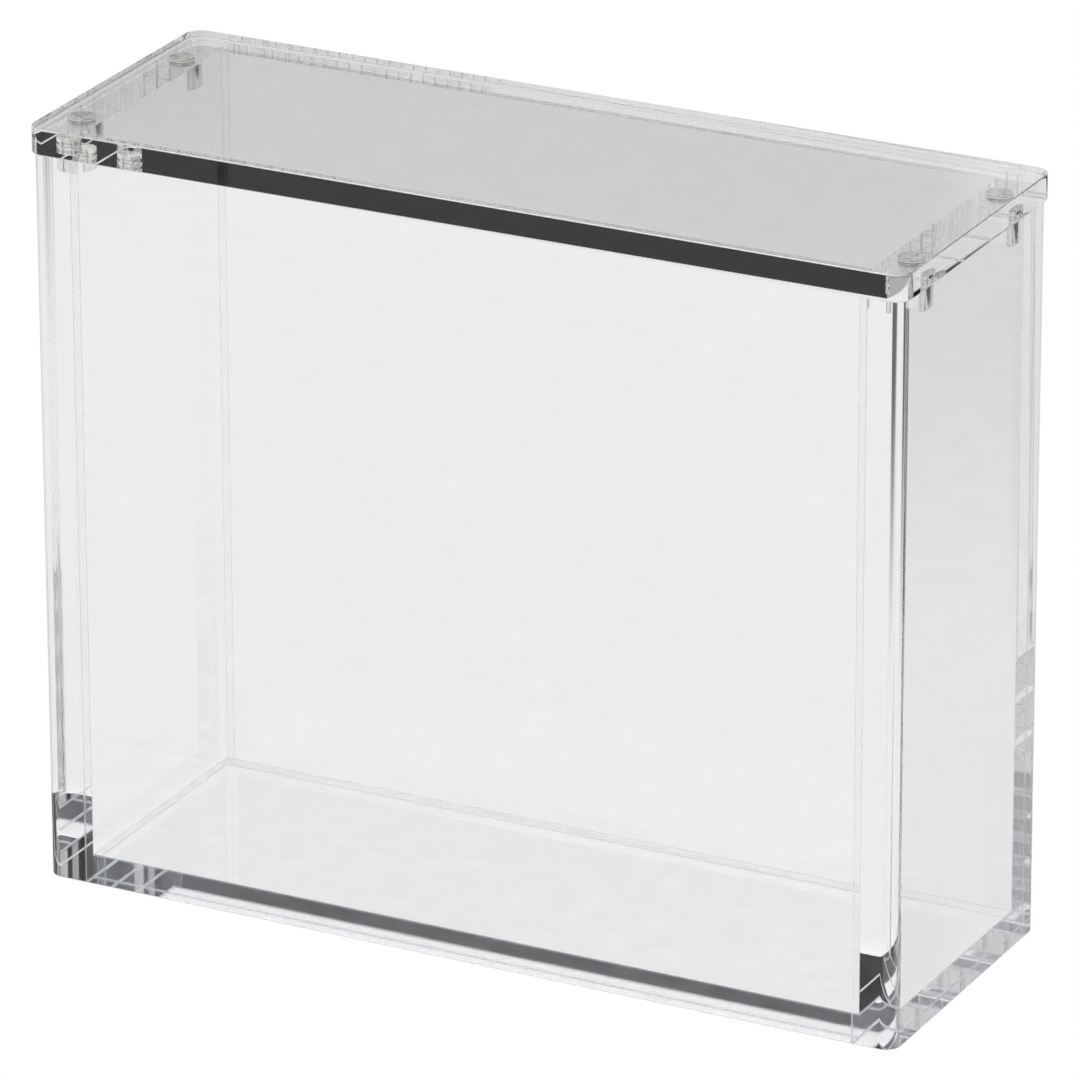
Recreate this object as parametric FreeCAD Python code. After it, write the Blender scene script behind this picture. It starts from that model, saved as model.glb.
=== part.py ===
"""Clear acrylic display case with a loose lid held by four pairs of disc magnets.

The case is made the way a fabricator makes it: two thick side walls stand full height at the
ends, a thinner front and back panel are cemented between them, and a base plate fills the
bottom of the well. The lid is one plate that rests on the rim. A magnet is set into each corner
of the lid's underside, over a magnet set into the top edge of a side wall.

Units are millimetres. The origin is the middle of the case's underside, with +X to the right,
+Y to the back and +Z up. The front panel faces -Y.
"""

import FreeCAD, Part
import os

# Clear space inside the case
cavity_width = 190.0
cavity_depth = 62.0
cavity_height = 166.2

# Sheet thicknesses
side_wall_thickness = 10.0
panel_thickness = 6.0
base_thickness = 5.6
lid_thickness = 6.2

# Outer shape
case_corner_radius = 3.5
lid_overhang = 0.75
polished_edge_bevel = 0.25

# Magnets and their blind pockets
magnet_diameter = 6.0
case_magnet_height = 6.0
lid_magnet_height = 2.0
magnet_bevel = 0.15
pocket_radial_gap = 0.05
magnet_from_case_end = 14.8

# Sizes that follow from those above
case_width = cavity_width + 2 * side_wall_thickness
case_depth = cavity_depth + 2 * panel_thickness
case_height = base_thickness + cavity_height
lid_width = case_width + 2 * lid_overhang
lid_depth = case_depth + 2 * lid_overhang
lid_corner_radius = case_corner_radius + lid_overhang
magnet_radius = magnet_diameter / 2
magnet_x = case_width / 2 - side_wall_thickness / 2
magnet_y = case_depth / 2 - magnet_from_case_end

X_AXIS = FreeCAD.Vector(1, 0, 0)
Z_AXIS = FreeCAD.Vector(0, 0, 1)
SIDES = {"left": -1, "right": 1}
ENDS = {"front": -1, "back": 1}


def centred_box(width, depth, height, centre_x=0.0, centre_y=0.0, bottom=0.0):
    """A box centred on (centre_x, centre_y) that stands on z = bottom."""
    corner = FreeCAD.Vector(centre_x - width / 2, centre_y - depth / 2, bottom)
    return Part.makeBox(width, depth, height, corner)


def is_vertical(edge):
    """True where an edge runs along Z."""
    start, end = edge.Vertexes[0].Point, edge.Vertexes[-1].Point
    return abs((end - start).normalize().dot(Z_AXIS)) > 0.999


def polished_block(width, depth, height, corner_radius, bottom=0.0):
    """A block with rounded upright corners and a fine bevel round its top and bottom faces."""
    block = centred_box(width, depth, height, bottom=bottom)
    upright_edges = [edge for edge in block.Edges if is_vertical(edge)]
    block = block.makeFillet(corner_radius, upright_edges)
    level_faces = [face for face in block.Faces if abs(face.normalAt(0, 0).dot(Z_AXIS)) > 0.999]
    rim_edges = [edge for face in level_faces for edge in face.Edges]
    return block.makeChamfer(polished_edge_bevel, rim_edges)


def pocket(centre_x, centre_y, bottom, height):
    """The blind hole that a magnet of the given height is set into."""
    centre = FreeCAD.Vector(centre_x, centre_y, bottom)
    return Part.makeCylinder(magnet_radius + pocket_radial_gap, height, centre, Z_AXIS)


def magnet(centre_x, centre_y, bottom, height):
    """A plated disc or rod magnet with a fine bevel at both ends."""
    centre = FreeCAD.Vector(centre_x, centre_y, bottom)
    rod = Part.makeCylinder(magnet_radius, height, centre, Z_AXIS)
    end_circles = [edge for edge in rod.Edges if edge.Closed]
    return rod.makeChamfer(magnet_bevel, end_circles)


def corner_points():
    """Each corner's name and the centre of its magnets."""
    for end_name, end in ENDS.items():
        for side_name, side in SIDES.items():
            yield end_name + "_" + side_name, side * magnet_x, end * magnet_y


def make_side_wall(case_block, side):
    """A thick wall at one end, from the floor to the rim, with a magnet pocket near each corner."""
    centre_x = side * (case_width - side_wall_thickness) / 2
    region = centred_box(side_wall_thickness, case_depth, case_height, centre_x=centre_x)
    wall = case_block.common(region)
    for end in ENDS.values():
        bottom = case_height - case_magnet_height
        wall = wall.cut(pocket(side * magnet_x, end * magnet_y, bottom, case_magnet_height))
    return wall


def make_panel(case_block, end):
    """The front or back panel, from the floor to the rim, between the side walls."""
    centre_y = end * (case_depth - panel_thickness) / 2
    region = centred_box(cavity_width, panel_thickness, case_height, centre_y=centre_y)
    return case_block.common(region)


def make_base_plate():
    """The floor of the well, held on all four edges."""
    return centred_box(cavity_width, cavity_depth, base_thickness)


def make_lid_plate():
    """The loose lid, with a shallow magnet pocket in its underside at each corner."""
    plate = polished_block(lid_width, lid_depth, lid_thickness, lid_corner_radius, case_height)
    for _, centre_x, centre_y in corner_points():
        plate = plate.cut(pocket(centre_x, centre_y, case_height, lid_magnet_height))
    return plate


case_block = polished_block(case_width, case_depth, case_height, case_corner_radius)

nodes = {"base_plate": make_base_plate(), "lid_plate": make_lid_plate()}
for side_name, side in SIDES.items():
    nodes[side_name + "_wall"] = make_side_wall(case_block, side)
for end_name, end in ENDS.items():
    nodes[end_name + "_panel"] = make_panel(case_block, end)
for corner_name, centre_x, centre_y in corner_points():
    case_magnet_bottom = case_height - case_magnet_height
    case_magnet = magnet(centre_x, centre_y, case_magnet_bottom, case_magnet_height)
    nodes["case_magnet_" + corner_name] = case_magnet
    nodes["lid_magnet_" + corner_name] = magnet(centre_x, centre_y, case_height, lid_magnet_height)

os.makedirs("parts", exist_ok=True)
for name, shape in nodes.items():
    shape.exportStep("parts/" + name + ".step")
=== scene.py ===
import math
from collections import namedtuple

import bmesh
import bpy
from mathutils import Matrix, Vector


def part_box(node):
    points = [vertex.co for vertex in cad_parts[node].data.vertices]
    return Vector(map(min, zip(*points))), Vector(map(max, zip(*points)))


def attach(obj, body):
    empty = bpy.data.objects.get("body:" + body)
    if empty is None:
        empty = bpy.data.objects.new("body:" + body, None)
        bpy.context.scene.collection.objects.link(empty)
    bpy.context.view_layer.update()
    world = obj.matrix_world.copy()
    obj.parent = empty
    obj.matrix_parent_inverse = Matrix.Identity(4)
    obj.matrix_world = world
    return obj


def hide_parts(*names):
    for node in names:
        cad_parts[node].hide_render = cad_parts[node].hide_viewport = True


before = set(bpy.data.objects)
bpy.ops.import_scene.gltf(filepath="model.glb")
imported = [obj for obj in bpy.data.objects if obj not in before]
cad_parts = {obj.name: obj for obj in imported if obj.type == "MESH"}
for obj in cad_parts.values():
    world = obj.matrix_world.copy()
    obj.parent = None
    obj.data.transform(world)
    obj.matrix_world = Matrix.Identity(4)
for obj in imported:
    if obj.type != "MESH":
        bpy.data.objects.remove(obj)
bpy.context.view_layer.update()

# Looks of the clear acrylic display case: polished sheets cemented edge to edge, a loose lid, and
# nickel-plated magnets set in blind pockets. Everything is in metres, in the CAD frame.
#
# Each sheet is a closed solid. Its cemented faces carry the cement's material in place of the
# acrylic's, so light crosses a joint without meeting air, as it does in a real solvent joint.

# ---------------------------------------------------------------- sizes
MM = 0.001
CASE_CORNER_RADIUS = 3.5 * MM
LID_CORNER_RADIUS = 4.25 * MM
EDGE_BEVEL = 0.25 * MM
MAGNET_BEVEL = 0.15 * MM

# Thin layers of air or glue between faces that would otherwise lie in each other
LID_AIR_GAP = 0.12 * MM
MAGNET_GAP = 0.02 * MM
POCKET_GAP = 0.05 * MM
FLOOR_DROP = 0.05 * MM

# A face whose middle is this near a joint's plane is in the joint
JOINT_TOLERANCE = 0.1 * MM

# How finely the curves are cut
CORNER_STEPS = 32
BEVEL_STEPS = 4
ROUND_STEPS = 64
FLOOR_STEPS = 128

right_low, right_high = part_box("right_wall")
left_low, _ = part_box("left_wall")
front_low, front_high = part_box("front_panel")
back_low, back_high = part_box("back_panel")
base_low, base_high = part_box("base_plate")
lid_low, lid_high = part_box("lid_plate")
case_low = Vector((left_low.x, front_low.y, base_low.z))
case_high = Vector((right_high.x, back_high.y, right_high.z))
magnet_boxes = {name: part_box(name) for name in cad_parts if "magnet" in name}
magnet_low, magnet_high = magnet_boxes["case_magnet_front_left"]
magnet_radius = (magnet_high.x - magnet_low.x) / 2
case_magnet_height = magnet_high.z - magnet_low.z
lid_magnet_top = magnet_boxes["lid_magnet_front_left"][1].z

# ---------------------------------------------------------------- looks
# A pair in brackets is the least and the most that a pattern gives
ACRYLIC_INDEX = 1.491
CLEAR_COLOUR = (1, 1, 1, 1)
SMUDGE_ROUGHNESS = 0.012
BEVEL_ROUGHNESS = 0.35
RIPPLE_HEIGHT = 0.0006 * MM
CREPT_HAZE = (0.16, 0.30)
CREPT_HAZE_REACH = 0.5 * MM
SCUFFS = (0.02, 0.06)

CEMENT_COLOUR = (0.88, 0.91, 0.97, 1)
CEMENT_ROUGHNESS = 0.6
CEMENT_CLOUD = (0.022, 0.04)
CEMENT_BUBBLES = 0.1
CEMENT_EDGE = 0.25
CEMENT_EDGE_REACH = 0.6 * MM
FULL_HAZE_SHARE = 0.35
LEAST_FACING = 0.15
PLAIN_BLEND = 0.5

GLUE_COLOUR = (0.95, 0.95, 0.95, 1)
GLUE_ROUGHNESS = 0.4
GLUE_RINGS = 0.08
GLUE_BUBBLES = 0.25

NICKEL_COLOUR = (0.84, 0.83, 0.81, 1)
NICKEL_SIDE_ROUGHNESS = (0.05, 0.15)
NICKEL_END_ROUGHNESS = (0.2, 0.5)
GRAIN_HEIGHT = 0.004 * MM
PAPER_GRAIN = (0.985, 1.015)

# The part of a cloudy pattern that a look picks out: nearly all of it, its middle, or its peaks
MOST, MIDDLE, CORE = (0.3, 0.7), (0.35, 0.65), (0.38, 0.62)
SMUDGE_PEAKS, CEMENT_PEAKS, GLUE_PEAKS = (0.62, 0.8), (0.66, 0.72), (0.64, 0.70)

# The upright part of a face's normal, as a share: on a bevel, and from a magnet's side to its end
BEVEL_SLOPE = (0.1, 0.99)
END_SLOPE = (0.5, 0.95)

# What a spread gives when it goes up from nothing to all, or down from all to nothing
RISE, FALL = (0.0, 1.0), (1.0, 0.0)

# ---------------------------------------------------------------- light
FLOOR_RADIUS = 12.0
# The floor's glow as the acrylic shows it: a painted pool of light under the case, with a soft edge
FEATHER = 10.0 * MM
PAINTED_POOL_UNDER_CASE = 1.06
BEHIND_CASE = 0.87
# Painted shade in reflections: the floor's glow as a mirror shows it
IN_MIRROR = 0.3
# Painted shade on the glowing floor, falling off towards the back right
FALLOFF_TOWARDS = (0.9, 0.43)
FALLOFF_START = 220.0 * MM
FALLOFF_END = 440.0 * MM
FALLOFF_LEVEL = 0.12

# Brightness of the studio, where 1 is white. Pairs go from left to right.
SKY_PEAK = 2.8
FRONT = (0.85, 0.6)
BACK = (0.008, 0.015)
BRIGHT_PATCH = 0.5
BRIGHT_GAP = 0.4

# Where the studio changes: X, Y and Z of a direction, and X over Y for the gap
FRONT_X, BACK_X = (-0.6, 0.6), (0.0, 0.7)
FRONT_TO_BACK_Y = (-0.35, 0.45)
WHITE_TO_BAND_Z, BAND_TO_WHITE_Z = (0.26, 0.315), (0.44, 0.50)
WHITE_TO_PEAK_Z, PEAK_TO_WHITE_Z = (0.743, 0.83), (0.86, 0.93)
PATCH_END_X = (-0.415, -0.410)
PATCH_START_Z, PATCH_END_Z = (0.3440, 0.3450), (0.375, 0.385)
GAP_START, GAP_END = (-0.459, -0.447), (-0.2, -0.1)
LEAST_Y = 0.05

CAMERA_AZIMUTH = math.radians(27.232)
CAMERA_ELEVATION = math.radians(21.820)
CAMERA_ROLL = math.radians(-0.180)
CAMERA_DISTANCE = 2.00364
CAMERA_LENS = 303.9
SENSOR_WIDTH = 36.0
AIM_RIGHT, AIM_UP = 0.681 * MM, -2.115 * MM
LIGHT_BOUNCES = 48


# ---------------------------------------------------------------- node trees
class Nodes:
    """A short way to build a node tree."""

    def __init__(self, tree):
        self.tree = tree
        tree.nodes.clear()

    def add(self, kind):
        return self.tree.nodes.new(kind)

    def put(self, value, socket):
        """A number or a colour goes on the socket itself; anything else is linked to it."""
        if isinstance(value, (int, float, tuple)):
            socket.default_value = value
        else:
            self.tree.links.new(value, socket)

    def math(self, operation, *values):
        node = self.add("ShaderNodeMath")
        node.operation = operation
        for value, socket in zip(values, node.inputs):
            self.put(value, socket)
        return node.outputs[0]

    def product(self, first, *others):
        for other in others:
            first = self.math("MULTIPLY", first, other)
        return first

    def blend(self, first, second, share):
        """The first value where the share is 0, the second where it is 1."""
        kept = self.math("MULTIPLY", first, self.math("SUBTRACT", 1.0, share))
        return self.math("ADD", kept, self.math("MULTIPLY", second, share))

    def spread(self, value, between, gives, smooth=True):
        """Carry what lies between two values onto another two, held at both ends."""
        node = self.add("ShaderNodeMapRange")
        node.interpolation_type = "SMOOTHSTEP" if smooth else "LINEAR"
        for number, socket in zip((value, *between, *gives), node.inputs):
            self.put(number, socket)
        return node.outputs[0]

    def axes(self, kind, output):
        """A node's vector, split along X, Y and Z."""
        split = self.add("ShaderNodeSeparateXYZ")
        self.put(self.add(kind).outputs[output], split.inputs[0])
        return split.outputs

    def place(self):
        """The point on the piece, in metres."""
        return self.axes("ShaderNodeTexCoord", "Object")

    def true_normal(self):
        """Which way the flat face points."""
        return self.axes("ShaderNodeNewGeometry", "True Normal")

    def noise(self, per_metre, detail, stretch=None):
        """Cloudy variation from 0 to 1, with so many clouds in a metre."""
        node = self.add("ShaderNodeTexNoise")
        self.put(per_metre, node.inputs["Scale"])
        self.put(detail, node.inputs["Detail"])
        coordinates = self.add("ShaderNodeTexCoord").outputs["Object"]
        if stretch:
            mapping = self.add("ShaderNodeMapping")
            self.put(stretch, mapping.inputs["Scale"])
            self.put(coordinates, mapping.inputs["Vector"])
            coordinates = mapping.outputs[0]
        self.put(coordinates, node.inputs["Vector"])
        return node.outputs[0]

    def bump(self, height, distance):
        node = self.add("ShaderNodeBump")
        self.put(distance, node.inputs["Distance"])
        self.put(height, node.inputs["Height"])
        return node.outputs[0]


class MaterialNodes(Nodes):
    """The node tree of a new material."""

    def __init__(self, name):
        self.material = bpy.data.materials.new(name)
        self.material.use_nodes = True
        super().__init__(self.material.node_tree)
        self.surface = self.add("ShaderNodeOutputMaterial").inputs["Surface"]

    def principled(self, **values):
        shader = self.add("ShaderNodeBsdfPrincipled")
        for name, value in values.items():
            self.put(value, shader.inputs[name.replace("_", " ")])
        self.put(shader.outputs[0], self.surface)


# ---------------------------------------------------------------- materials
def joint_edge_haze(nodes, reach):
    """1 on the lines where cement has crept out of a joint, falling to 0 at the given distance."""
    x, y, z = nodes.place()
    depth = nodes.math("ABSOLUTE", y)
    past_wall = nodes.math("SUBTRACT", nodes.math("ABSOLUTE", x), base_high.x)
    past_cavity = nodes.math("SUBTRACT", depth, base_high.y)
    past_panel = nodes.math("SUBTRACT", depth, back_high.y)
    above_floor = nodes.math("SUBTRACT", z, base_high.z)
    below_floor = nodes.math("SUBTRACT", base_high.z, z)
    above_table = nodes.math("SUBTRACT", z, case_low.z)
    from_floor = nodes.math("ABSOLUTE", above_floor)
    inner_upright = nodes.math("MAXIMUM", nodes.math("ABSOLUTE", past_cavity), below_floor)
    lines = (
        (past_wall, past_panel),
        (past_wall, inner_upright),
        (past_wall, above_table),
        (past_cavity, nodes.math("MAXIMUM", above_table, past_wall)),
        (past_wall, nodes.math("MAXIMUM", from_floor, past_cavity)),
        (past_cavity, nodes.math("MAXIMUM", from_floor, past_wall)),
    )
    haze = 0.0
    for across, along in lines:
        squares = nodes.math("ADD", nodes.math("POWER", across, 2.0), nodes.math("POWER", along, 2.0))
        distance = nodes.math("SQRT", squares)
        near = nodes.spread(distance, between=(FULL_HAZE_SHARE * reach, reach), gives=FALL)
        haze = nodes.math("MAXIMUM", near, haze)
    return haze


def acrylic_material(name, jointed):
    """Polished cast sheet with faint wiping marks, a very slight ripple and satin bevels.

    The sheets of the case also have crept cement along their joints and scuffs underneath.
    """
    nodes = MaterialNodes(name)
    smudge = nodes.noise(per_metre=38.0, detail=3.0)
    roughness = nodes.spread(smudge, between=SMUDGE_PEAKS, gives=(0.0, SMUDGE_ROUGHNESS))
    transmission = 1.0
    if jointed:
        uneven = nodes.spread(nodes.noise(per_metre=60.0, detail=1.0), between=MOST, gives=CREPT_HAZE)
        haze = nodes.product(joint_edge_haze(nodes, CREPT_HAZE_REACH), uneven)
        roughness = nodes.math("ADD", roughness, haze)
        underneath = nodes.math("LESS_THAN", nodes.place()["Z"], case_low.z + EDGE_BEVEL)
        scuffs = nodes.spread(nodes.noise(per_metre=150.0, detail=3.0), between=MOST, gives=SCUFFS)
        transmission = nodes.math("SUBTRACT", 1.0, nodes.product(underneath, scuffs))
    slope = nodes.math("ABSOLUTE", nodes.true_normal()["Z"])
    is_bevel = nodes.product(
        nodes.math("GREATER_THAN", slope, BEVEL_SLOPE[0]), nodes.math("LESS_THAN", slope, BEVEL_SLOPE[1])
    )
    nodes.principled(
        Base_Color=CLEAR_COLOUR,
        Roughness=nodes.math("MAXIMUM", roughness, nodes.product(is_bevel, BEVEL_ROUGHNESS)),
        IOR=ACRYLIC_INDEX,
        Transmission_Weight=transmission,
        Normal=nodes.bump(nodes.noise(per_metre=60.0, detail=1.0), RIPPLE_HEIGHT),
    )
    return nodes.material


def cement_material():
    """Solvent cement: almost clear, a little cloudy, with fine bubbles along the edges.

    What it hides grows with the length of cement that light crosses at a slant.
    """
    nodes = MaterialNodes("cement_line")
    cloud = nodes.spread(nodes.noise(per_metre=120.0, detail=2.0), between=MOST, gives=CEMENT_CLOUD)
    bubbles = nodes.noise(per_metre=1400.0, detail=1.0)
    bubbles = nodes.spread(bubbles, between=CEMENT_PEAKS, gives=(0.0, CEMENT_BUBBLES))
    edge = nodes.product(joint_edge_haze(nodes, CEMENT_EDGE_REACH), CEMENT_EDGE)
    straight = nodes.math("ADD", nodes.math("ADD", cloud, edge), nodes.product(bubbles, edge))
    slant = nodes.add("ShaderNodeLayerWeight")
    nodes.put(PLAIN_BLEND, slant.inputs["Blend"])
    facing = nodes.math("SUBTRACT", 1.0, slant.outputs["Facing"])
    length = nodes.math("DIVIDE", 1.0, nodes.math("MAXIMUM", facing, LEAST_FACING))
    passed = nodes.math("POWER", nodes.math("SUBTRACT", 1.0, straight), length)
    hidden = nodes.math("SUBTRACT", 1.0, passed)
    nodes.principled(Base_Color=CEMENT_COLOUR, Roughness=CEMENT_ROUGHNESS, Alpha=hidden)
    return nodes.material


def glue_material():
    """The clear glue round a magnet: a few bubbles and faint rings from the drill."""
    nodes = MaterialNodes("magnet_glue")
    rings = nodes.noise(per_metre=400.0, detail=1.0, stretch=(0.05, 0.05, 6.0))
    rings = nodes.spread(rings, between=MOST, gives=(0.0, GLUE_RINGS))
    bubbles = nodes.noise(per_metre=900.0, detail=1.0)
    bubbles = nodes.spread(bubbles, between=GLUE_PEAKS, gives=(0.0, GLUE_BUBBLES))
    hidden = nodes.math("ADD", rings, bubbles)
    nodes.principled(Base_Color=GLUE_COLOUR, Roughness=GLUE_ROUGHNESS, Alpha=hidden)
    return nodes.material


def nickel_material():
    """Nickel plate: bright turned sides, satin end faces, fine grain and duller handling marks."""
    nodes = MaterialNodes("plated_nickel")
    marks = nodes.noise(per_metre=520.0, detail=3.0)
    side_roughness = nodes.spread(marks, between=MIDDLE, gives=NICKEL_SIDE_ROUGHNESS)
    end_roughness = nodes.spread(marks, between=CORE, gives=NICKEL_END_ROUGHNESS)
    slope = nodes.math("ABSOLUTE", nodes.true_normal()["Z"])
    is_end = nodes.spread(slope, between=END_SLOPE, gives=RISE)
    nodes.principled(
        Base_Color=NICKEL_COLOUR,
        Metallic=1.0,
        Roughness=nodes.blend(side_roughness, end_roughness, is_end),
        Normal=nodes.bump(nodes.noise(per_metre=5000.0, detail=2.0), GRAIN_HEIGHT),
    )
    return nodes.material


CASE_SHEET = acrylic_material("case_acrylic", jointed=True)
LID_SHEET = acrylic_material("lid_acrylic", jointed=False)
CEMENT = cement_material()
GLUE = glue_material()
NICKEL = nickel_material()
FACE, JOINT, DRILLED = 0, 1, 2


# ---------------------------------------------------------------- outlines, seen from above
class Side:
    """One stretch of a sheet's outline. Its normals point out of the sheet at its two ends, and an
    outer side is one that gets the polished bevel."""

    def __init__(self, start, end, start_normal, end_normal, outer=True):
        self.start, self.end = Vector(start), Vector(end)
        self.start_normal, self.end_normal = Vector(start_normal), Vector(end_normal)
        self.outer = outer


def flat_side(start, end, outer=True):
    along = (Vector(end) - Vector(start)).normalized()
    normal = (along.y, -along.x)
    return Side(start, end, normal, normal, outer)


def round_corner(centre, radius, first_angle):
    """A quarter-round corner, anticlockwise from first_angle in degrees."""
    sides = []
    for step in range(CORNER_STEPS):
        turns = [math.radians(first_angle + 90 * s / CORNER_STEPS) for s in (step, step + 1)]
        normals = [Vector((math.cos(turn), math.sin(turn))) for turn in turns]
        points = [Vector(centre) + radius * normal for normal in normals]
        sides.append(Side(*points, *normals))
    return sides


def rectangle(low, high, outer):
    """Front, right, back and left sides, anticlockwise, with one flag each."""
    corners = [(low.x, low.y), (high.x, low.y), (high.x, high.y), (low.x, high.y)]
    ends = corners[1:] + corners[:1]
    return [flat_side(*side) for side in zip(corners, ends, outer)]


def lid_outline():
    r = LID_CORNER_RADIUS
    low, high = lid_low, lid_high
    x0, x1, y0, y1 = low.x + r, high.x - r, low.y + r, high.y - r
    sides = [flat_side((x0, low.y), (x1, low.y))]
    sides += round_corner((x1, y0), r, -90)
    sides += [flat_side((high.x, y0), (high.x, y1))]
    sides += round_corner((x1, y1), r, 0)
    sides += [flat_side((x1, high.y), (x0, high.y))]
    sides += round_corner((x0, y1), r, 90)
    sides += [flat_side((low.x, y1), (low.x, y0))]
    sides += round_corner((x0, y0), r, 180)
    return sides


def right_wall_outline():
    """Two rounded outer corners, and an inner side split where the panels end."""
    r = CASE_CORNER_RADIUS
    x0, x1, y0, y1 = right_low.x, right_high.x, right_low.y, right_high.y
    sides = [flat_side((x0, y0), (x1 - r, y0))]
    sides += round_corner((x1 - r, y0 + r), r, -90)
    sides += [flat_side((x1, y0 + r), (x1, y1 - r))]
    sides += round_corner((x1 - r, y1 - r), r, 0)
    sides += [flat_side((x1 - r, y1), (x0, y1))]
    inner = [(x0, y1), (x0, back_low.y), (x0, front_high.y), (x0, y0)]
    sides += [flat_side(*ends, outer=False) for ends in zip(inner, inner[1:])]
    return sides


def mirrored(sides):
    """The same outline with left and right swapped."""
    flip = Matrix(((-1, 0), (0, 1)))
    return [
        Side(flip @ s.end, flip @ s.start, flip @ s.end_normal, flip @ s.start_normal, s.outer)
        for s in reversed(sides)
    ]


# ---------------------------------------------------------------- sheets
# A ring is one level of a sheet: how far its outline is drawn in, and which way its normals lean,
# from straight down or up (turn 0) to level (a quarter turn)
Ring = namedtuple("Ring", "height inset turn way")
UP, DOWN = 1, -1
QUARTER_TURN = math.radians(90)


def quarter_turns():
    return [QUARTER_TURN * step / BEVEL_STEPS for step in range(BEVEL_STEPS + 1)]


def bevelled_rings(low, high, cuts=()):
    """The rings from the bottom up, with a rounded bevel at both ends and plain cuts between."""
    below, above = [], []
    for turn in quarter_turns():
        rise, inset = EDGE_BEVEL * (1 - math.cos(turn)), EDGE_BEVEL * (1 - math.sin(turn))
        below.append(Ring(low + rise, inset, turn, DOWN))
        above.append(Ring(high - rise, inset, turn, UP))
    return below + [Ring(cut, 0.0, QUARTER_TURN, DOWN) for cut in cuts] + above[::-1]


def plain_rings(low, high):
    return [Ring(low, 0.0, QUARTER_TURN, DOWN), Ring(high, 0.0, QUARTER_TURN, UP)]


def circle(centre, radius, height):
    """Points anticlockwise round an upright axis."""
    turns = [2 * math.pi * step / ROUND_STEPS for step in range(ROUND_STEPS)]
    return [
        Vector((centre[0] + radius * math.cos(turn), centre[1] + radius * math.sin(turn), height))
        for turn in turns
    ]


def link_object(name, data):
    piece = bpy.data.objects.new(name, data)
    bpy.context.scene.collection.objects.link(piece)
    return piece


class Sheet:
    """A closed solid built from an outline and its rings, with an exact normal at every corner."""

    def __init__(self, outline, rings):
        self.bm = bmesh.new()
        self.exact_normal = self.bm.loops.layers.float_vector.new("exact_normal")
        self.outline, self.rings = outline, rings
        self.columns = [self.points_of(ring) for ring in rings]

    def points_of(self, ring):
        points = []
        for before, side in zip([self.outline[-1]] + self.outline, self.outline):
            shift = Vector((0, 0))
            if before.outer:
                shift = before.end_normal * ring.inset
            if side.outer:
                shift = side.start_normal * ring.inset
            point = side.start - shift
            points.append(self.bm.verts.new((point.x, point.y, ring.height)))
        return points

    def add_face(self, verts, normals, index=FACE):
        made = self.bm.faces.new(verts)
        made.material_index = index
        made.smooth = True
        for loop, normal in zip(made.loops, normals):
            loop[self.exact_normal] = normal

    def leaning(self, level_normal, ring, outer):
        """The normal of a side at one ring."""
        turn = ring.turn if outer else QUARTER_TURN
        level = level_normal * math.sin(turn)
        return Vector((level.x, level.y, ring.way * math.cos(turn)))

    def add_sides(self, is_joint):
        """The faces between the rings. Inner faces for which is_joint is true are cemented."""
        steps = zip(self.rings, self.rings[1:], self.columns, self.columns[1:])
        for lower_ring, upper_ring, lower, upper in steps:
            for i, side in enumerate(self.outline):
                j = (i + 1) % len(self.outline)
                verts = (lower[i], lower[j], upper[j], upper[i])
                normals = (
                    self.leaning(side.start_normal, lower_ring, side.outer),
                    self.leaning(side.end_normal, lower_ring, side.outer),
                    self.leaning(side.end_normal, upper_ring, side.outer),
                    self.leaning(side.start_normal, upper_ring, side.outer),
                )
                middle = sum((vert.co for vert in verts), Vector()) / len(verts)
                joined = not side.outer and is_joint(middle)
                self.add_face(verts, normals, JOINT if joined else FACE)

    def add_cap(self, way):
        """A flat bottom or top without holes."""
        column = self.columns[-1] if way == UP else self.columns[0][::-1]
        self.add_face(column, [Vector((0, 0, way))] * len(column))

    def add_pocket(self, centre, depth, way):
        """Make the blind hole for a magnet, and return the ring where it opens."""
        radius = magnet_radius + POCKET_GAP
        mouth_height = self.columns[-1 if way == UP else 0][0].co.z
        points = circle(centre, radius, mouth_height)
        mouth = [self.bm.verts.new(point) for point in points]
        floor = [self.bm.verts.new((p.x, p.y, mouth_height - way * depth)) for p in points]
        inward = [Vector((-point.x, -point.y, 0)) for point in circle((0, 0), 1.0, 0.0)]
        for s in range(ROUND_STEPS):
            e = (s + 1) % ROUND_STEPS
            verts = [mouth[s], mouth[e], floor[e], floor[s]]
            normals = [inward[s], inward[e], inward[e], inward[s]]
            self.add_face(verts[::way], normals[::way], DRILLED)
        self.add_face(floor[::way], [Vector((0, 0, way))] * ROUND_STEPS, DRILLED)
        return mouth

    def add_drilled_cap(self, way, centres, depth):
        """A flat bottom or top with a pocket at each centre."""
        direction = Vector((0, 0, way))
        loops = [self.columns[-1 if way == UP else 0]]
        loops += [self.add_pocket(centre, depth, way) for centre in centres]
        edges = []
        for loop in loops:
            for pair in zip(loop, loop[1:] + loop[:1]):
                edges.append(self.bm.edges.get(pair) or self.bm.edges.new(pair))
        filled = bmesh.ops.triangle_fill(self.bm, use_beauty=True, edges=edges, normal=direction)
        for face in filled["geom"]:
            if isinstance(face, bmesh.types.BMFace):
                if face.normal.dot(direction) < 0:
                    face.normal_flip()
                face.smooth = True
                for corner in face.loops:
                    corner[self.exact_normal] = direction

    def finish(self, name, clear):
        mesh = bpy.data.meshes.new(name)
        self.bm.normal_update()
        self.bm.to_mesh(mesh)
        self.bm.free()
        for material in (clear, CEMENT, GLUE):
            mesh.materials.append(material)
        normals = [item.vector.copy() for item in mesh.attributes["exact_normal"].data]
        mesh.normals_split_custom_set(normals)
        mesh.attributes.remove(mesh.attributes["exact_normal"])
        return link_object(name, mesh)


def keep(piece, node, body):
    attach(piece, body)
    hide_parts(node)


def centre_of(node):
    low, high = magnet_boxes[node]
    return ((low.x + high.x) / 2, (low.y + high.y) / 2)


def on_wall_joint(point):
    return point.z < base_high.z or point.y < front_high.y or point.y > back_low.y


def on_panel_joint(point):
    return point.z < base_high.z or abs(point.x) > base_high.x - JOINT_TOLERANCE


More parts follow.
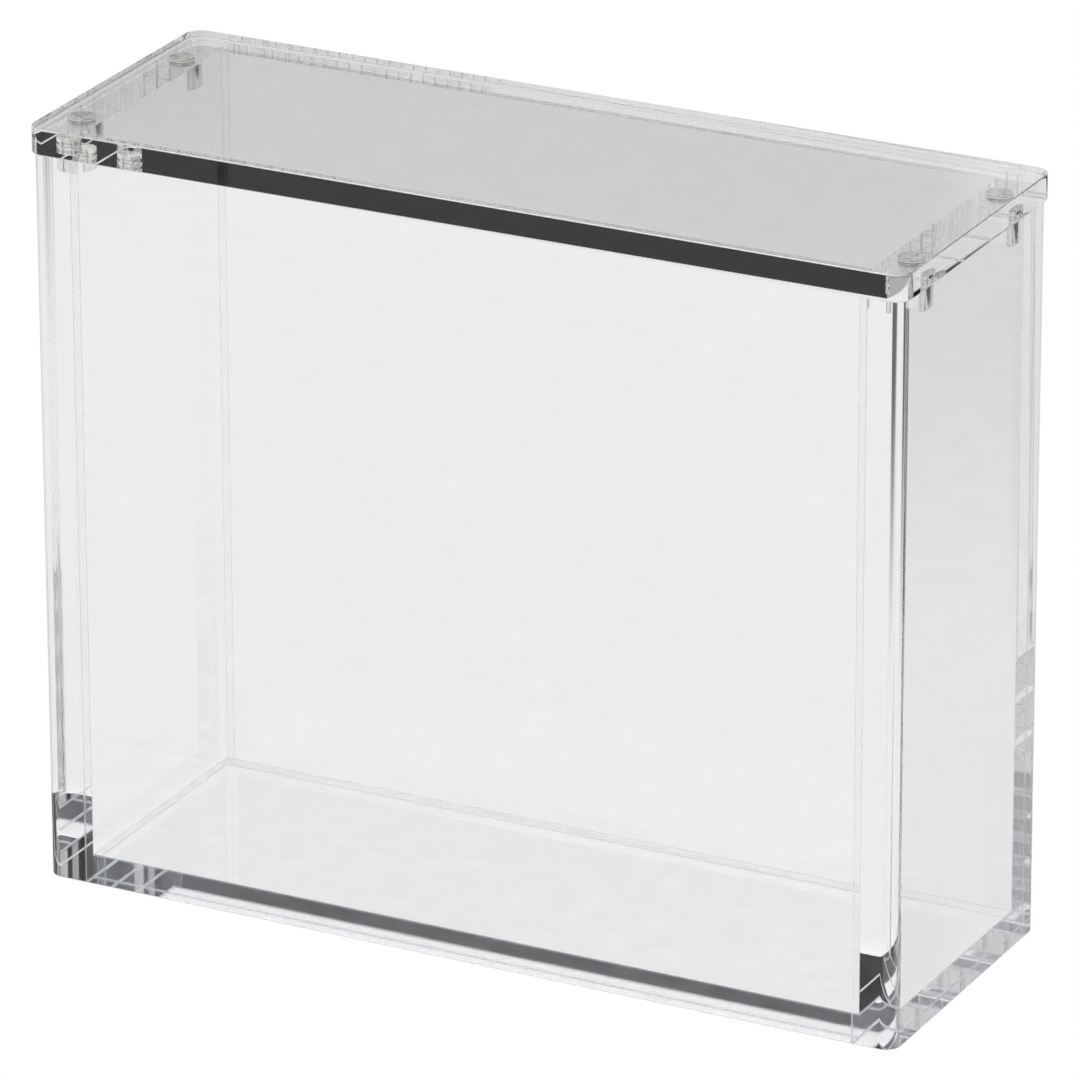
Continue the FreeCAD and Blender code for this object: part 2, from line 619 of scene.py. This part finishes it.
def make_wall(side, outline):
    """A side wall: rounded, drilled from above, and cemented to the panels and the base."""
    wall = Sheet(outline, bevelled_rings(case_low.z, case_high.z, [base_high.z]))
    wall.add_sides(on_wall_joint)
    wall.add_cap(DOWN)
    centres = [centre_of("case_magnet_" + end + "_" + side) for end in ("front", "back")]
    wall.add_drilled_cap(UP, centres, case_magnet_height)
    name = side + "_wall"
    keep(wall.finish(name + "_clear", CASE_SHEET), name, "case")


def make_panel(name, low, high, outer):
    """The front or back panel, cemented at both ends and to the base."""
    panel = Sheet(rectangle(low, high, outer), bevelled_rings(case_low.z, case_high.z, [base_high.z]))
    panel.add_sides(on_panel_joint)
    panel.add_cap(DOWN)
    panel.add_cap(UP)
    keep(panel.finish(name + "_clear", CASE_SHEET), name, "case")


def make_base():
    """The floor of the well, cemented on all four edges."""
    base = Sheet(rectangle(base_low, base_high, [False] * 4), plain_rings(base_low.z, base_high.z))
    base.add_sides(lambda point: True)
    base.add_cap(DOWN)
    base.add_cap(UP)
    keep(base.finish("base_plate_clear", CASE_SHEET), "base_plate", "case")


def make_lid():
    """The loose lid, a hair above the rim, drilled from below."""
    bottom = lid_low.z + LID_AIR_GAP
    lid = Sheet(lid_outline(), bevelled_rings(bottom, lid_high.z))
    lid.add_sides(lambda point: False)
    centres = [centre_of(name) for name in sorted(magnet_boxes) if name.startswith("lid")]
    lid.add_drilled_cap(DOWN, centres, lid_magnet_top - bottom + MAGNET_GAP)
    lid.add_cap(UP)
    keep(lid.finish("lid_plate_clear", LID_SHEET), "lid_plate", "lid")


# ---------------------------------------------------------------- magnets
def make_magnet(node, body):
    """A plated disc or rod with a rounded bevel at both ends, clear of its pocket all round."""
    low, high = magnet_boxes[node]
    bottom, top = low.z + MAGNET_GAP, high.z - MAGNET_GAP
    if body == "lid":
        bottom += LID_AIR_GAP
    below, above = [], []
    for turn in quarter_turns():
        radius = magnet_radius - MAGNET_BEVEL * (1 - math.sin(turn))
        rise = MAGNET_BEVEL * (1 - math.cos(turn))
        below.append((radius, bottom + rise))
        above.append((radius, top - rise))
    bm = bmesh.new()
    rings = []
    for radius, height in below + above[::-1]:
        rings.append([bm.verts.new(point) for point in circle(centre_of(node), radius, height)])
    for lower, upper in zip(rings, rings[1:]):
        for s in range(ROUND_STEPS):
            e = (s + 1) % ROUND_STEPS
            bm.faces.new((lower[s], lower[e], upper[e], upper[s])).smooth = True
    bm.faces.new(rings[0][::-1])
    bm.faces.new(rings[-1])
    mesh = bpy.data.meshes.new(node + "_plated")
    bm.to_mesh(mesh)
    bm.free()
    mesh.materials.append(NICKEL)
    keep(link_object(node + "_plated", mesh), node, body)


# ---------------------------------------------------------------- floor, light and camera
def floor_material():
    """White paper that glows, though it is no lamp: plain white as the camera sees it, and, as the
    acrylic shows it, a painted pool of light that makes it brighter under the case, painted shade
    falling off towards the back right, and painted shade where it is seen in reflections."""
    nodes = MaterialNodes("white_floor")
    x, y, _ = nodes.place()
    # Painted pool of light: the glow is brighter under the case than behind it
    under = [
        nodes.spread(nodes.math("ABSOLUTE", axis), between=(edge - FEATHER, edge + FEATHER), gives=FALL)
        for axis, edge in ((x, case_high.x), (y, case_high.y))
    ]
    level = nodes.math("ADD", nodes.product(*under, PAINTED_POOL_UNDER_CASE - BEHIND_CASE), BEHIND_CASE)
    # Painted shade: the glow falls off towards the back right
    towards = [nodes.product(axis, share) for axis, share in zip((x, y), FALLOFF_TOWARDS)]
    away = nodes.math("ADD", *towards)
    painted_falloff_shade = nodes.spread(away, between=(FALLOFF_START, FALLOFF_END), gives=(1.0, FALLOFF_LEVEL))
    grain = nodes.spread(nodes.noise(per_metre=90.0, detail=3.0), between=MOST, gives=PAPER_GRAIN)
    path = nodes.add("ShaderNodeLightPath").outputs
    # Painted shade in reflections: the floor seen in a mirror glows dimmer
    is_mirrored = path["Is Reflection Ray"]
    painted_mirror_shade = nodes.spread(is_mirrored, between=RISE, gives=(1.0, IN_MIRROR), smooth=False)
    glow = nodes.add("ShaderNodeEmission")
    nodes.put(nodes.product(level, painted_falloff_shade, grain, painted_mirror_shade), glow.inputs["Strength"])
    white = nodes.add("ShaderNodeEmission")
    seen = nodes.add("ShaderNodeMixShader")
    for value, socket in zip((path["Is Camera Ray"], glow.outputs[0], white.outputs[0]), seen.inputs):
        nodes.put(value, socket)
    nodes.put(seen.outputs[0], nodes.surface)
    return nodes.material


def make_floor():
    bm = bmesh.new()
    bmesh.ops.create_circle(bm, cap_ends=True, segments=FLOOR_STEPS, radius=FLOOR_RADIUS)
    bmesh.ops.translate(bm, verts=bm.verts, vec=(0, 0, -FLOOR_DROP))
    mesh = bpy.data.meshes.new("floor")
    bm.to_mesh(mesh)
    bm.free()
    mesh.materials.append(floor_material())
    link_object("floor", mesh)


def make_world():
    """A soft studio: white low down and overhead, brighter high up, and a dark band behind the case.

    The band has a lighter patch on the left and a lighter gap beside it. Directions are unit
    vectors, so z is the sine of the elevation.
    """
    world = bpy.data.worlds.new("studio")
    bpy.context.scene.world = world
    world.use_nodes = True
    nodes = Nodes(world.node_tree)
    output = nodes.add("ShaderNodeOutputWorld")
    background = nodes.add("ShaderNodeBackground")
    x, y, z = nodes.axes("ShaderNodeTexCoord", "Generated")

    patch = nodes.product(
        nodes.spread(x, between=PATCH_END_X, gives=FALL),
        nodes.spread(z, between=PATCH_START_Z, gives=RISE),
        nodes.spread(z, between=PATCH_END_Z, gives=FALL),
        BRIGHT_PATCH,
    )
    turn = nodes.math("DIVIDE", x, nodes.math("MAXIMUM", y, LEAST_Y))
    gap = nodes.product(
        nodes.spread(turn, between=GAP_START, gives=RISE),
        nodes.spread(turn, between=GAP_END, gives=FALL),
        BRIGHT_GAP,
    )
    peak = nodes.product(
        nodes.spread(z, between=WHITE_TO_PEAK_Z, gives=RISE),
        nodes.spread(z, between=PEAK_TO_WHITE_Z, gives=FALL),
    )
    front = nodes.spread(x, between=FRONT_X, gives=FRONT)
    back = nodes.spread(x, between=BACK_X, gives=BACK)
    back = nodes.math("ADD", nodes.math("ADD", back, patch), gap)
    level = nodes.blend(front, back, nodes.spread(y, between=FRONT_TO_BACK_Y, gives=RISE))
    level = nodes.blend(level, 1.0, nodes.spread(z, between=BAND_TO_WHITE_Z, gives=RISE))
    level = nodes.blend(level, 1.0, nodes.spread(z, between=WHITE_TO_BAND_Z, gives=FALL))
    level = nodes.blend(level, SKY_PEAK, peak)
    nodes.put(level, background.inputs["Strength"])
    nodes.put(background.outputs[0], output.inputs["Surface"])


def make_camera():
    """The photograph's viewpoint, worked out from the outline and the inner edges of the case."""
    turn, tilt = CAMERA_AZIMUTH, CAMERA_ELEVATION
    level = math.cos(tilt)
    back = Vector((math.sin(turn) * level, -math.cos(turn) * level, math.sin(tilt)))
    right = Vector((math.cos(turn), math.sin(turn), 0))
    up = back.cross(right)
    cos_roll, sin_roll = math.cos(CAMERA_ROLL), math.sin(CAMERA_ROLL)
    right, up = cos_roll * right + sin_roll * up, cos_roll * up - sin_roll * right
    aim = Vector((0, 0, lid_high.z / 2)) + AIM_RIGHT * right + AIM_UP * up
    data = bpy.data.cameras.new("camera")
    data.sensor_width = SENSOR_WIDTH
    data.lens = CAMERA_LENS
    camera = link_object("camera", data)
    camera.matrix_world = Matrix((right, up, back)).transposed().to_4x4()
    camera.matrix_world.translation = aim + CAMERA_DISTANCE * back
    bpy.context.scene.camera = camera


def set_light_paths():
    """Enough bounces for light to cross every sheet, with caustics and without blurring."""
    scene = bpy.context.scene
    scene.view_settings.view_transform = "Standard"
    for name in ("max_bounces", "transmission_bounces", "glossy_bounces", "transparent_max_bounces"):
        setattr(scene.cycles, name, LIGHT_BOUNCES)
    scene.cycles.use_denoising = True
    scene.cycles.blur_glossy = 0.0
    scene.cycles.caustics_refractive = True
    scene.cycles.caustics_reflective = True


make_wall("right", right_wall_outline())
make_wall("left", mirrored(right_wall_outline()))
make_panel("front_panel", front_low, front_high, outer=(True, False, False, False))
make_panel("back_panel", back_low, back_high, outer=(False, False, True, False))
make_base()
make_lid()
for node in sorted(magnet_boxes):
    make_magnet(node, "lid" if node.startswith("lid") else "case")
make_floor()
make_world()
make_camera()
set_light_paths()
